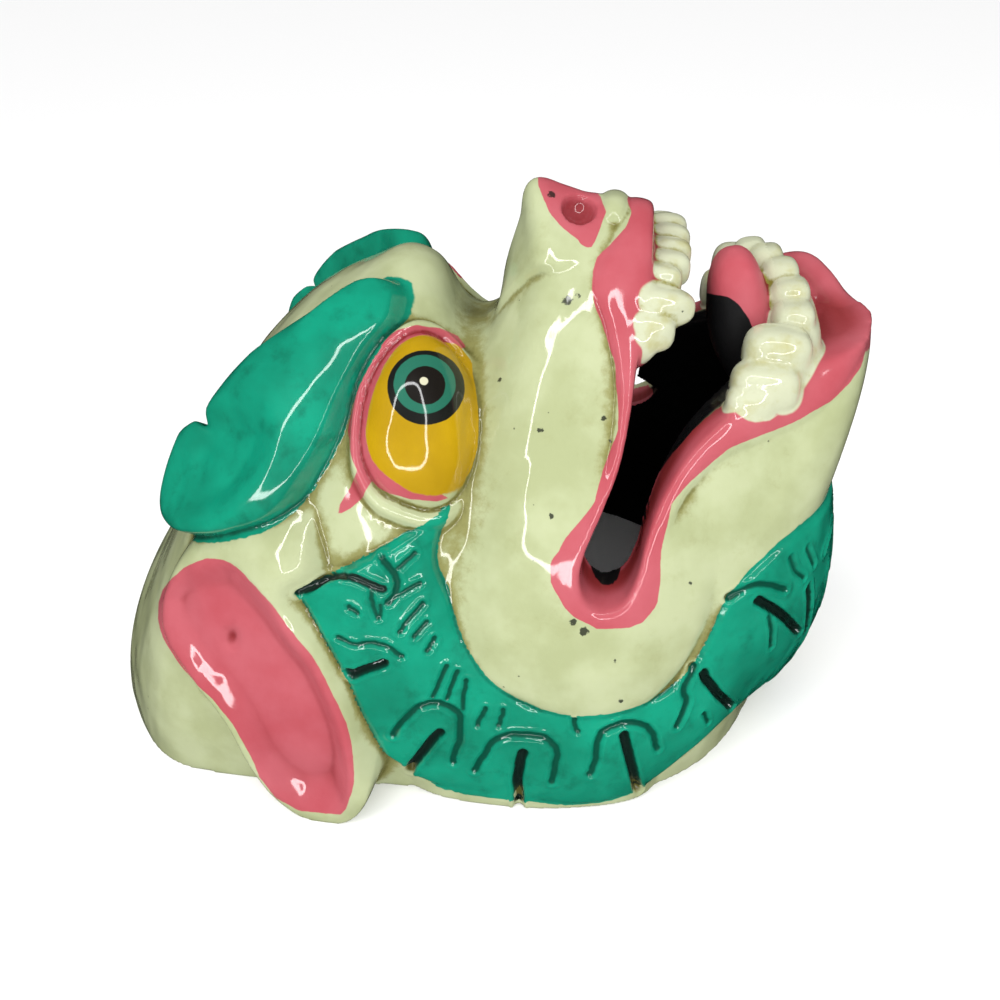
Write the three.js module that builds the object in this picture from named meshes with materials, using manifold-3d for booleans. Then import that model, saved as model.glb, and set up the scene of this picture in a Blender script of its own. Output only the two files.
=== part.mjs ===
// Snow lion mask: one block of wood, carved and hollowed, then painted.
// The mask lies on its flat back rim, with the face looking up.
// +X is the lion's own left, +Y runs up the head to the crown, +Z comes out of the face.
// Lengths are in millimetres and angles in degrees.

import * as THREE from 'three';
import { ParametricGeometry } from 'three/addons/geometries/ParametricGeometry.js';
import { mergeVertices } from 'three/addons/utils/BufferGeometryUtils.js';
import Module from 'manifold-3d';

const wasm = await Module();
wasm.setup();

// Stations are measured along the head from the bridge of the nose, + towards the crown.
// MIDDLE is the station halfway along the finished mask, where the origin is.
const CHIN = -104;
const CROWN = 125;
const MIDDLE = 11.85;

// The hollow inside is the head drawn in to these shares of its width, length and height.
const HOLLOW = [0.855, 0.9, 0.9];

// Station, half width at the back rim, height of the crest, and roundness of the section:
// 2 is an ellipse, less is more like a roof, more is squarer.
const HEAD = [
  [-98, 36, 116, 2.3],
  [-80, 56, 127, 2.0],
  [-60, 67, 136, 1.75],
  [-38, 74, 146, 1.6],
  [-15, 76, 146, 1.6],
  [3, 76, 122, 1.8],
  [20, 77, 129, 2.0],
  [45, 79, 125, 2.0],
  [70, 80, 105, 2.1],
  [95, 75, 73, 2.2],
  [112, 58, 48, 2.3],
];
const END_ROUNDING = 0.55;

// The chin leans in at the table and out at the lip, and the crown leans in as it rises.
const CHIN_LEAN = { from: -38, over: 60, foot: 15, fall: 16, height: 118, power: 1.6 };
const CROWN_LEAN = { from: 70, over: 50, slope: 0.2 };

const clamp = (value, low, high) => Math.min(Math.max(value, low), high);
const radians = THREE.MathUtils.degToRad;
const mix = THREE.MathUtils.lerp;

// A smooth curve through [place, value] pairs, with the slope at each pair from its neighbours.
function through(pairs) {
  const last = pairs.length - 1;
  const rate = (i) => (pairs[i + 1][1] - pairs[i][1]) / (pairs[i + 1][0] - pairs[i][0]);
  const slopes = pairs.map((pair, i) => {
    if (i === 0) return rate(0);
    if (i === last) return rate(last - 1);
    const share = (pair[0] - pairs[i - 1][0]) / (pairs[i + 1][0] - pairs[i - 1][0]);
    return mix(rate(i - 1), rate(i), share);
  });
  return (place) => {
    const at = clamp(place, pairs[0][0], pairs[last][0]);
    const next = pairs.findIndex((pair) => pair[0] > at);
    const k = next < 0 ? last - 1 : next - 1;
    const step = pairs[k + 1][0] - pairs[k][0];
    const t = (at - pairs[k][0]) / step;
    return mix(pairs[k][1], pairs[k + 1][1], t * t * (3 - 2 * t))
      + step * (slopes[k] * t * (1 - t) ** 2 - slopes[k + 1] * t ** 2 * (1 - t));
  };
}

// Stations close up towards the chin and the crown, where the sections shrink to the rounded ends.
const half = (CROWN - CHIN) / 2;
const stationAt = (along) => CHIN + half - half * Math.cos(Math.PI * along);
function ending(station) {
  const along = Math.acos(clamp((CHIN + half - station) / half, -1, 1));
  return Math.max(Math.sin(along), 1e-6) ** END_ROUNDING;
}

const widths = through(HEAD.map(([station, width]) => [station, width / ending(station)]));
const crests = through(HEAD.map(([station, , crest]) => [station, crest / ending(station)]));
const roundness = through(HEAD.map(([station, , , round]) => [station, round]));

function lean(station, z) {
  const chin = clamp((CHIN_LEAN.from - station) / CHIN_LEAN.over, 0, 1);
  const crown = clamp((station - CROWN_LEAN.from) / CROWN_LEAN.over, 0, 1);
  const rise = Math.max(z / CHIN_LEAN.height, 0) ** CHIN_LEAN.power;
  return chin * (CHIN_LEAN.foot - CHIN_LEAN.fall * rise) - crown * CROWN_LEAN.slope * z;
}

const signedPower = (value, power) => Math.sign(value) * Math.abs(value) ** power;

// The point of the bare head at a station and an angle round it, 0 at the crest, 90 at the rim.
function bare(station, angle) {
  const round = roundness(station);
  const size = ending(station);
  const x = widths(station) * size * signedPower(Math.sin(radians(angle)), 2 / round);
  const z = crests(station) * size * signedPower(Math.cos(radians(angle)), 2 / round);
  return new THREE.Vector3(x, station + lean(station, z), z);
}

// The same point raised by a lift, along the head's own normal.
function onHead(station, angle, lift = 0) {
  const point = bare(station, angle);
  if (lift === 0) return point;
  const step = 0.5;
  const along = bare(station + step, angle).sub(bare(station - step, angle));
  const around = bare(station, angle + step).sub(bare(station, angle - step));
  return point.addScaledVector(around.cross(along).normalize(), lift);
}

// Below 0 inside the bare head, 0 on it and above 0 outside.
function outsideBy(x, y, z) {
  let station = y;
  for (let k = 0; k < 6; k += 1) station = y - lean(station, z);
  if (station <= CHIN || station >= CROWN) return 1;
  const round = roundness(station);
  const wide = Math.abs(x) / (widths(station) * ending(station));
  const high = Math.max(z, 0) / (crests(station) * ending(station));
  return wide ** round + high ** round - 1;
}

// The point of the head at a height, on a bearing from the middle of the cheeks: 0 looks to the
// chin and 90 to the side. It is found by halving, and raised along the head's own normal.
const CHEEKS = { station: -30, reach: 130, halvings: 40 };
function atHeight(bearing, z, lift = 0) {
  const way = new THREE.Vector3(Math.sin(radians(bearing)), -Math.cos(radians(bearing)), 0);
  let near = 0;
  let far = CHEEKS.reach;
  for (let k = 0; k < CHEEKS.halvings; k += 1) {
    const middle = (near + far) / 2;
    if (outsideBy(way.x * middle, CHEEKS.station + way.y * middle, z) < 0) near = middle;
    else far = middle;
  }
  const point = new THREE.Vector3(way.x * near, CHEEKS.station + way.y * near, z);
  if (lift === 0) return point;
  const step = 0.5;
  const slope = ['x', 'y', 'z'].map((axis) => {
    const ahead = point.clone();
    const behind = point.clone();
    ahead[axis] += step;
    behind[axis] -= step;
    return outsideBy(...ahead.toArray()) - outsideBy(...behind.toArray());
  });
  return point.addScaledVector(new THREE.Vector3(...slope).normalize(), lift);
}

// A closed geometry as a solid, with its doubled vertices merged and its faces turned outwards.
function solid(geometry) {
  const plain = new THREE.BufferGeometry();
  plain.setAttribute('position', geometry.getAttribute('position'));
  if (geometry.index) plain.setIndex(geometry.index.clone());
  const merged = mergeVertices(plain, 1e-3);
  const position = merged.getAttribute('position');
  const corner = (i) => new THREE.Vector3().fromBufferAttribute(position, i);
  const faces = [];
  let volume = 0;
  for (let i = 0; i < merged.index.count; i += 3) {
    const [a, b, c] = [0, 1, 2].map((k) => merged.index.getX(i + k));
    if (a === b || b === c || c === a) continue;
    faces.push([a, b, c]);
    volume += corner(a).dot(corner(b).cross(corner(c)));
  }
  const outward = volume > 0 ? faces : faces.map(([a, b, c]) => [a, c, b]);
  return new wasm.Manifold(new wasm.Mesh({
    numProp: 3,
    vertProperties: new Float32Array(position.array),
    triVerts: new Uint32Array(outward.flat()),
  }));
}

// A grid of points as a closed solid. Its first and last rows each fall together in one point.
function gridSolid(point, across, rows) {
  return solid(new ParametricGeometry((u, v, target) => {
    target.copy(point(u * across, v * rows));
  }, across, rows));
}

// A solid as a geometry, for a mirrored copy or for the finished mesh.
function geometryOf(body) {
  const mesh = body.getMesh();
  const geometry = new THREE.BufferGeometry();
  geometry.setAttribute('position', new THREE.BufferAttribute(mesh.vertProperties, 3));
  geometry.setIndex(new THREE.BufferAttribute(mesh.triVerts, 1));
  return geometry;
}

// A solid of the left half joined with its mirror image on the right.
function bothSides(body) {
  const mirrored = geometryOf(body).clone();
  mirrored.scale(-1, 1, 1);
  return body.add(solid(mirrored));
}

// The bare head, closed flat at the back. The hollow is the same form at its own scale.
const BACK_STEPS = 6;
function headForm(around, along, floor, scale = [1, 1, 1]) {
  return gridSolid((i, j) => {
    const station = stationAt(clamp(j / along, 0.002, 0.998));
    const tip = j === 0 || j === along;
    const point = tip ? bare(station, 90).setX(0) : bare(station, 180 * Math.min(i / around, 1) - 90);
    if (i > around) point.x *= 1 - 2 * (i - around) / BACK_STEPS;
    point.multiply(new THREE.Vector3(...scale));
    if (i >= around || i === 0 || tip) point.z = floor;
    return point;
  }, around + BACK_STEPS, along);
}

// A smooth line through [first, second] pairs, open or closed, read at t from 0 to 1.
function line(pairs, closed = false) {
  const points = pairs.map(([first, second]) => new THREE.Vector3(first, second, 0));
  return new THREE.CatmullRomCurve3(points, closed, 'centripetal');
}

const FOOT_DEPTH = 5;

// Relief inside a closed outline of [station, angle] pairs. Its height is lift(r, station, angle),
// with r 0 in the middle and 1 on the outline, and its foot is sunk into the head.
function relief({ outline, middle, lift, around = 22, rings = 4 }) {
  const edge = line(outline, true);
  return gridSolid((i, j) => {
    const r = j <= rings ? Math.sin(Math.PI / 2 * j / rings) : clamp(rings + 2 - j, 0, 1);
    const place = edge.getPoint(i / around % 1);
    const station = mix(middle[0], place.x, r);
    const angle = mix(middle[1], place.y, r);
    return onHead(station, angle, j <= rings ? lift(r, station, angle) : -FOOT_DEPTH);
  }, around, rings + 2);
}

// A band carried along the head between an inner and an outer line, which place() puts on it.
// Its height is lift(t, b, first), with t running along it, b across it from the inner line,
// and the first number of the pair at that point.
function band({ inner, outer, place, lift, along = 40, across = 3 }) {
  const inside = line(inner);
  const outside = line(outer);
  return gridSolid((i, j) => {
    const closing = j === 0 || j === along;
    const t = clamp((j - 1) / (along - 2), 0, 1);
    const side = i % (across + 3);
    const b = closing ? 0.5 : clamp(side <= across ? side / across : across + 2 - side, 0, 1);
    const point = inside.getPoint(t).lerp(outside.getPoint(t), b);
    const sunk = closing || side > across;
    return place(point.x, point.y, sunk ? -FOOT_DEPTH : lift(t, b, point.x));
  }, across + 3, along);
}

// An egg-shaped lump, such as a tooth.
function lump([x, y, z], [wide, long, high]) {
  const geometry = new THREE.SphereGeometry(1, 8, 5);
  return solid(geometry.scale(wide, long, high).translate(x, y, z));
}

// Cheek pouches swell at the corners of the mouth, and are fuller on the side of the head.
const POUCH = {
  middle: [-30, 58],
  outline: [[4, 48], [6, 56], [2, 62], [-6, 68], [-17, 71], [-28, 72.5], [-39, 72.5], [-53, 71],
    [-62, 67], [-67, 60], [-64, 50], [-52, 44], [-36, 42], [-18, 42], [-4, 43]],
  rings: 3,
  lift: (r, station, angle) => {
    const fullness = mix(1.6, 0.5, clamp((angle - 46) / 20, 0, 1));
    return 5 * Math.max(1 - r * r, 0) ** fullness;
  },
};

// Brows: an arm from the root of the nose widens into a lobe with a dished middle.
const BROW = {
  middle: [60, 36],
  outline: [[24, 12], [31, 11], [38, 15.5], [45, 18.5], [53, 21], [60, 23.5], [65, 26.5], [66, 29.5],
    [69, 27.5], [75, 27.5], [81, 31.5], [82, 37], [75, 43.5], [65, 47], [56, 48], [48, 47.5],
    [42, 44.5], [36, 39], [32, 32], [27, 24], [23, 18]],
  lift: (r, station, angle) => {
    const height = mix(5.5, 11, clamp((station - 28) / 26, 0, 1));
    const dish = Math.hypot((station - 62) / 13, (angle - 37) / 7.5);
    return height * (1 - 0.35 * r ** 6) - 5 * clamp(1.3 - dish, 0, 1);
  },
};

// Eyes: a domed ball in a raised lid of the same outline, drawn larger.
const EYE = {
  middle: [14, 32],
  outline: [[27, 30], [28, 36], [27, 41], [22, 45], [13, 45.5], [5, 42], [1, 37], [1, 31], [4, 24],
    [10, 19.5], [17, 20], [23, 24]],
  lift: (r) => 0.5 + 7.5 * Math.sqrt(Math.max(1 - r * r, 0)),
};
const LID = {
  middle: EYE.middle,
  outline: EYE.outline.map((pair) => pair.map((value, k) => mix(EYE.middle[k], value, 1.23))),
  rings: 2,
  lift: (r) => 2.4 - 1.6 * r ** 8,
};

// Nose: a ridge like a roof climbs to a peak, and falls to a flat front with two nostrils.
const NOSE = {
  middle: [-14.5, 0],
  outline: [[5, 0], [2, 9], [-3, 13], [-10, 17], [-17, 20], [-23, 19], [-28, 12], [-30, 0], [-28, -12],
    [-23, -19], [-17, -20], [-10, -17], [-3, -13], [2, -9]],
  around: 20,
  ridge: through([[-31, 0.3], [-25, 0.6], [-21.5, 1.2], [-17.5, 4.6], [-14.5, 9.4], [-10, 5.8], [-6, 4],
    [-2, 2.5], [2, 0.7], [6, 0]]),
  lift: (r, station, angle) => NOSE.ridge(station) * (1.03 - Math.hypot(angle, 1) / 23),
};
const NOSTRIL = { middle: [8, -20.5, 147], size: [4, 3.4, 3] };

// Ears: a leaf on the side of the head between two edges, dished, and highest towards its tip.
const EAR = {
  inner: [[93, 50.5], [84, 46], [72, 46.5], [60, 50], [49, 57], [38, 66], [28, 76], [20, 86], [19, 94]],
  outer: [[92, 53], [88, 58], [77, 65], [67, 75], [59, 86], [48, 96], [32, 98], [21, 97]],
  rise: through([[18, 7], [26, 11], [36, 13.5], [48, 12], [62, 8], [92, 3.5]]),
  along: 16,
  across: 5,
  place: onHead,
  lift: (t, b, station) => {
    const edge = 1 + (0.25 - 0.5 * b) * clamp((station - 34) / 20, 0, 1);
    return EAR.rise(station) * edge * (0.4 + 0.6 * (2 * b - 1) ** 2);
  },
};

// Mouth: the side view of the gap, as [y, z] pairs from the front of the upper lip round the
// corner and out along the lower lip. Rolled lips stand beside it, as [station, angle] lines.
const GAP = [[-39.5, 150], [-39.5, 136], [-38, 122], [-37, 108], [-35.5, 98], [-32.5, 89],
  [-29, 80.5], [-28, 74], [-30, 69], [-34, 66.5], [-39, 68], [-42, 74], [-43.5, 82], [-47, 92.5],
  [-53, 102], [-62, 109], [-75, 115], [-90, 120.5], [-125, 128]];
const GAP_ABOVE = 190;
const GAP_ACROSS = 240;
const LIPS = {
  inner: [[-40, 0], [-39.5, 14], [-38, 25], [-38, 33], [-37.5, 40], [-34, 47.5], [-29.5, 53],
    [-29, 56], [-31, 58.5], [-35, 59.5], [-40, 58.5], [-42, 54], [-45, 48.5], [-49, 42.5],
    [-56, 37.5], [-65, 33], [-75, 28], [-83, 20], [-88, 0]],
  outer: [[-32, 0], [-30, 13], [-26, 22], [-30, 28], [-33.5, 35], [-33.5, 42], [-29, 49.5],
    [-22, 54], [-21, 57], [-25, 61], [-33, 63], [-45, 62.5], [-50.5, 58], [-50, 52], [-52, 47],
    [-60, 41.5], [-74, 36], [-88, 31], [-98, 0]],
  along: 30,
  across: 2,
  place: onHead,
  lift: (t, b) => 1.8 * Math.sin(Math.PI * mix(0.12, 0.88, b)),
};

// Mane: a flat band from beside the eye, under the cheek and round the chin, as [bearing, z]
// lines, with slots cut into its outer edge. Towards the chin it stands further off the head.
const MANE = {
  inner: [[126, 85], [124, 74], [120, 64], [116, 53], [109, 42], [100, 35], [92, 33], [83, 34],
    [73, 36], [65, 42], [60, 51], [55, 62], [46, 71], [36, 77], [18, 79], [0, 79]],
  outer: [[138, 66], [136, 56], [132, 43], [128, 28], [123, 13], [115, 5], [105, 3], [95, 2.5],
    [83, 3], [73, 6], [63, 12], [52, 17], [40, 17], [28, 13], [14, 9], [0, 8]],
  along: 34,
  place: atHeight,
  stand: through([[0, 4], [0.55, 4], [0.68, 2.6], [0.78, 2.8], [0.87, 6], [0.94, 10], [1, 12]]),
  lift: (t, b) => {
    const slope = Math.sin(Math.PI / 2 * Math.min(b * 1.3, 1));
    return mix(1.2, MANE.stand(t), slope) * (1 - 0.3 * b ** 8);
  },
};
const SLOT = {
  at: [0.135, 0.28, 0.43, 0.57, 0.74, 0.82, 0.93],
  wide: 2.4,
  deep: 3,
  reach: 0.42,
  below: 1.5,
};

// Back rim: the foot that stands a little proud of the head under the mane, as an [x, y] line.
const RIM = [[0, -99], [18, -92], [40, -79.5], [52, -69], [63, -58], [72, -50], [78.5, -28],
  [80, -5], [79, 8], [75, 22], [73, 60], [60, 90], [30, 108], [0, 114]];
const RIM_HEIGHT = 6;

// Teeth of one side as [middle, half sizes]: four above from the front to the back, five below.
const TEETH = [
  [[4.8, -42.8, 137], [4.6, 6.8, 4.6]],
  [[13.6, -42, 134], [4.8, 6.8, 4.8]],
  [[22.5, -43, 127.5], [6, 9, 6.2]],
  [[27.5, -38, 119.5], [5.5, 5, 6]],
  [[4.9, -79, 121], [4.8, 4.2, 7.5]],
  [[14.4, -77.5, 120.5], [4.9, 4.4, 7.5]],
  [[23, -74, 119], [4.6, 4.6, 7]],
  [[29, -69.5, 117], [7.2, 8, 8]],
  [[34, -63, 111], [4.5, 5, 5]],
];

// Tongue: a path in side view, as [y, z], from the floor of the mouth up to the curled tip.
const TONGUE = {
  path: [[-97, 88], [-84, 97], [-71, 108], [-63, 122], [-58.5, 138]],
  wide: 16,
  thick: 8,
  around: 14,
  along: 10,
};

function rimForm() {
  const right = RIM.slice(1, -1).reverse().map(([x, y]) => [-x, y]);
  const outline = line([...RIM, ...right], true).getPoints(44).slice(0, -1);
  const shape = new THREE.Shape(outline.map(({ x, y }) => new THREE.Vector2(x, y)));
  return solid(new THREE.ExtrudeGeometry(shape, { depth: RIM_HEIGHT, bevelEnabled: false }));
}

// The gap of the mouth, cut straight across the head and open to the front.
function mouthForm() {
  const shape = new THREE.Shape(line(GAP).getPoints(38).map(({ x, y }) => new THREE.Vector2(x, y)));
  shape.lineTo(GAP.at(-1)[0], GAP_ABOVE);
  shape.lineTo(GAP[0][0], GAP_ABOVE);
  const geometry = new THREE.ExtrudeGeometry(shape, { depth: GAP_ACROSS, bevelEnabled: false });
  const [x, y, z] = [[1, 0, 0], [0, 1, 0], [0, 0, 1]].map((axis) => new THREE.Vector3(...axis));
  const sideways = new THREE.Matrix4().makeBasis(y, z, x);
  return solid(geometry.translate(0, 0, -GAP_ACROSS / 2).applyMatrix4(sideways));
}

function tongueForm() {
  const path = line(TONGUE.path);
  return gridSolid((i, j) => {
    const t = j / TONGUE.along;
    const turn = 2 * Math.PI * i / TONGUE.around;
    const point = path.getPoint(t);
    const way = path.getTangent(t);
    const end = j === 0 ? 0 : Math.sqrt(Math.max(1 - t ** 6, 0));
    const across = TONGUE.wide * (1 - 0.15 * t) * end * Math.cos(turn);
    const off = TONGUE.thick * (1 - 0.35 * t) * end * Math.sin(turn);
    return new THREE.Vector3(across, point.x - way.y * off, point.y + way.x * off);
  }, TONGUE.around, TONGUE.along);
}

// A slot in the mane, from its outer edge part of the way to the inner one, square to the face.
function slotForm(t) {
  const inner = line(MANE.inner).getPoint(t);
  const outer = line(MANE.outer).getPoint(t);
  const inward = outer.clone().lerp(inner, SLOT.reach);
  const foot = atHeight(outer.x, outer.y - SLOT.below, MANE.stand(t));
  const up = atHeight(inward.x, inward.y, MANE.stand(t)).sub(foot);
  const middle = foot.clone().addScaledVector(up, 0.5);
  const out = new THREE.Vector3(middle.x, middle.y - CHEEKS.station, 0);
  const aside = up.clone().cross(out).normalize();
  const square = aside.clone().cross(up).normalize();
  const box = new THREE.BoxGeometry(SLOT.wide, up.length(), 2 * SLOT.deep);
  const turned = new THREE.Matrix4().makeBasis(aside, up.normalize(), square);
  return solid(box.applyMatrix4(turned.setPosition(middle)));
}

const mane = SLOT.at.map(slotForm).reduce((left, slot) => left.subtract(slot), band(MANE));

const carved = [
  bothSides(relief(POUCH)),
  bothSides(relief(BROW)),
  bothSides(relief(LID)),
  bothSides(relief(EYE)),
  bothSides(band(EAR)),
  relief(NOSE),
  bothSides(mane),
  rimForm(),
  bothSides(band(LIPS)),
].reduce((left, piece) => left.add(piece), headForm(28, 28, 0));

const opened = [
  mouthForm(),
  bothSides(lump(NOSTRIL.middle, NOSTRIL.size)),
  headForm(14, 12, -2, HOLLOW),
].reduce((left, space) => left.subtract(space), carved);

const table = solid(new THREE.BoxGeometry(400, 400, 40).translate(0, 0, -20));
const finished = [...TEETH.map(([middle, size]) => bothSides(lump(middle, size))), tongueForm()]
  .reduce((left, piece) => left.add(piece), opened)
  .subtract(table);

const mask = new THREE.Mesh(
  geometryOf(finished).translate(0, -MIDDLE, 0),
  new THREE.MeshStandardMaterial({ color: 0xc9cfa6, roughness: 0.25, metalness: 0 }),
);
mask.name = 'carved_mask';

const group = new THREE.Group();
group.add(mask);
export default group;
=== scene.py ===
import bpy
import numpy as np
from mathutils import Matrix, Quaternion, Vector
from mathutils.kdtree import KDTree


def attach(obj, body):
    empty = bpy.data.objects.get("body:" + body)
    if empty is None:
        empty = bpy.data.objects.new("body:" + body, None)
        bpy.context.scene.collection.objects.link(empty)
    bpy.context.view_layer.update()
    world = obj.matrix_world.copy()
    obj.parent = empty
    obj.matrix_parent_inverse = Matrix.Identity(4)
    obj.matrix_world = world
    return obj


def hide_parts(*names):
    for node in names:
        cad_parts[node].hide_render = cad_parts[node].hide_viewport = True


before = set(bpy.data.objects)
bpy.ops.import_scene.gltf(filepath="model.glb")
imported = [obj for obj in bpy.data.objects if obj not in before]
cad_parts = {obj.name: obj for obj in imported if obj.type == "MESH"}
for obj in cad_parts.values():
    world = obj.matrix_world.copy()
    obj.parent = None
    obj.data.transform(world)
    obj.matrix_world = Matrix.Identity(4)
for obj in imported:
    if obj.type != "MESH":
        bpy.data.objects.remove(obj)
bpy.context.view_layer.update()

# The head: one block of soft wood, carved to a long face with a high snout and a lower jaw.
# Sections across it are rounded roofs that close up at the chin and the crown. Lengths are in
# millimetres until the mesh is made, and stations run along the head from the nose bridge.
CHIN, CROWN = -104.0, 125.0
MIDDLE = 11.85  # the station that the object's origin stands at
SECTIONS = np.array([  # station, half width, crest height, roundness
    [-98, 36, 116, 2.3], [-80, 56, 127, 2.0], [-60, 67, 136, 1.75], [-38, 74, 146, 1.6],
    [-15, 76, 146, 1.6], [3, 76, 122, 1.8], [20, 77, 129, 2.0], [45, 79, 125, 2.0],
    [70, 80, 105, 2.1], [95, 75, 73, 2.2], [112, 58, 48, 2.3]])


def through(pairs):
    """A smooth cubic through (place, value) pairs, each slope weighed from its two neighbours."""
    x, y = np.array(pairs, float).T
    rate = np.diff(y) / np.diff(x)
    share = (x[1:-1] - x[:-2]) / (x[2:] - x[:-2])
    slope = np.concatenate([rate[:1], rate[:-1] * (1 - share) + rate[1:] * share, rate[-1:]])

    def at(place):
        place = np.clip(place, x[0], x[-1])
        k = np.clip(np.searchsorted(x, place, side="right") - 1, 0, len(x) - 2)
        step = x[k + 1] - x[k]
        t = (place - x[k]) / step
        return (y[k] + (y[k + 1] - y[k]) * t * t * (3 - 2 * t)
                + step * (slope[k] * t * (1 - t) ** 2 - slope[k + 1] * t * t * (1 - t)))
    return at


def ending(station):
    """How much of its section is left near the two rounded ends: a power of a half circle."""
    half = (CROWN - CHIN) / 2
    along = np.arccos(np.clip((CHIN + half - station) / half, -1, 1))
    return np.maximum(np.sin(along), 1e-6) ** 0.55


widths = through(np.stack([SECTIONS[:, 0], SECTIONS[:, 1] / ending(SECTIONS[:, 0])], 1))
crests = through(np.stack([SECTIONS[:, 0], SECTIONS[:, 2] / ending(SECTIONS[:, 0])], 1))
roundness = through(SECTIONS[:, [0, 3]])


def lean(station, z):
    """How far a section tips with height: the chin in at the table and out at the lip."""
    chin = np.clip((-38 - station) / 60, 0, 1)
    crown = np.clip((station - 70) / 50, 0, 1)
    return chin * (15 - 16 * np.maximum(z / 118, 0) ** 1.6) - crown * 0.2 * z


def bare(station, angle):
    """The point of the bare head: a super-ellipse section, angle 0 at the crest, 90 at the rim."""
    station, angle = np.clip(station, CHIN + 0.4, CROWN - 0.4), np.radians(angle)
    power = 2 / roundness(station)
    across, up = np.sin(angle), np.cos(angle)
    x = widths(station) * ending(station) * np.sign(across) * np.abs(across) ** power
    z = crests(station) * ending(station) * np.sign(up) * np.abs(up) ** power
    return np.stack([x, station + lean(station, z), z], -1)


def outward(station, angle):
    """The bare head's normal, from its slopes across and along."""
    station = np.clip(station, CHIN + 1.5, CROWN - 1.5)
    across = bare(station, angle + 0.5) - bare(station, angle - 0.5)
    along = bare(station + 0.5, angle) - bare(station - 0.5, angle)
    normal = np.cross(across, along)
    return normal / np.maximum(np.linalg.norm(normal, axis=-1, keepdims=True), 1e-9)


def place_on_head(points):
    """Station, angle and share of the bare head's size at points: bare() undone."""
    x, y, z = points.T
    station = y.copy()
    for _ in range(12):
        station = np.clip(y - lean(station, z), CHIN + 0.01, CROWN - 0.01)
    power = roundness(station)
    wide = np.abs(x) / (widths(station) * ending(station))
    high = np.abs(z) / (crests(station) * ending(station))
    angle = np.degrees(np.arctan2(wide ** (power / 2), high ** (power / 2)))
    return station, np.where(z < 0, 180 - angle, angle), (wide ** power + high ** power) ** (1 / power)


def line(pairs, closed=False):
    """A smooth line through (first, second) pairs, read at t from 0 to 1."""
    p = np.array(pairs, float)
    q = np.vstack([p[-1:], p, p[:2]] if closed else [2 * p[:1] - p[1:2], p, 2 * p[-1:] - p[-2:-1]])
    count = len(q) - 3
    gap = np.maximum(np.sum(np.diff(q, axis=0) ** 2, 1), 1e-12) ** 0.25

    def at(t):
        t = np.asarray(t, float) * count
        k = np.clip(np.floor(t).astype(int), 0, count - 1)
        w = (t - k)[..., None]
        a, b, c, d = (q[k + i] for i in range(4))
        g, h, i = (gap[k + j][..., None] for j in range(3))
        first = h * ((b - a) / g - (c - a) / (g + h) + (c - b) / h)
        second = h * ((c - b) / h - (d - b) / (h + i) + (d - c) / i)
        return b + w * (first + w * (3 * (c - b) - 2 * first - second
                                     + w * (2 * (b - c) + first + second)))
    return at


def spread(outline, middle, station, angle):
    """0 in the middle of a closed outline and 1 on it, in proportion along each ray."""
    edge = line(outline, True)(np.linspace(0, 1, 1441)[:-1]) - middle
    bearing = np.arctan2(edge[:, 1], edge[:, 0])
    reach = np.hypot(edge[:, 0], edge[:, 1])
    order = np.argsort(bearing)
    turn = np.arctan2(angle - middle[1], station - middle[0])
    to_edge = np.interp(turn, bearing[order], reach[order], period=2 * np.pi)
    return np.hypot(station - middle[0], angle - middle[1]) / to_edge


def strip(inner, outer, first, second, beyond=0.5):
    """Along and across a band between two lines, at points: a picture of the band is filled with
    its own t and b, and read between its pixels. b is 9 where the band is far away."""
    t, b = np.meshgrid(np.linspace(-0.04, 1.03, 2500), np.linspace(-beyond, 1 + beyond, 900),
                       indexing="ij")
    spot = line(inner)(t[:, :1]) * (1 - b)[..., None] + line(outer)(t[:, :1]) * b[..., None]
    order = np.argsort(-np.abs(b - 0.5) - 9 * np.abs(t - np.clip(t, 0, 1)), axis=None)
    low = spot.reshape(-1, 2).min(0) - 1
    step = 0.35
    size = np.ceil((spot.reshape(-1, 2).max(0) + 1 - low) / step).astype(int) + 2
    picture = np.full((*size, 2), 9.0)
    i, j = np.rint((spot - low) / step).astype(int).reshape(-1, 2)[order].T
    picture[i, j] = np.stack([t, b], -1).reshape(-1, 2)[order]
    u = np.clip((first - low[0]) / step, 0, size[0] - 2)
    v = np.clip((second - low[1]) / step, 0, size[1] - 2)
    i, j = u.astype(int), v.astype(int)
    u, v = (u - i)[..., None], (v - j)[..., None]
    corners = picture[i, j], picture[i + 1, j], picture[i, j + 1], picture[i + 1, j + 1]
    read = (corners[0] * (1 - u) + corners[1] * u) * (1 - v)
    read = read + (corners[2] * (1 - u) + corners[3] * u) * v
    read[np.maximum.reduce(corners)[..., 1] > 5] = 9
    return read[..., 0], read[..., 1]


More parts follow.
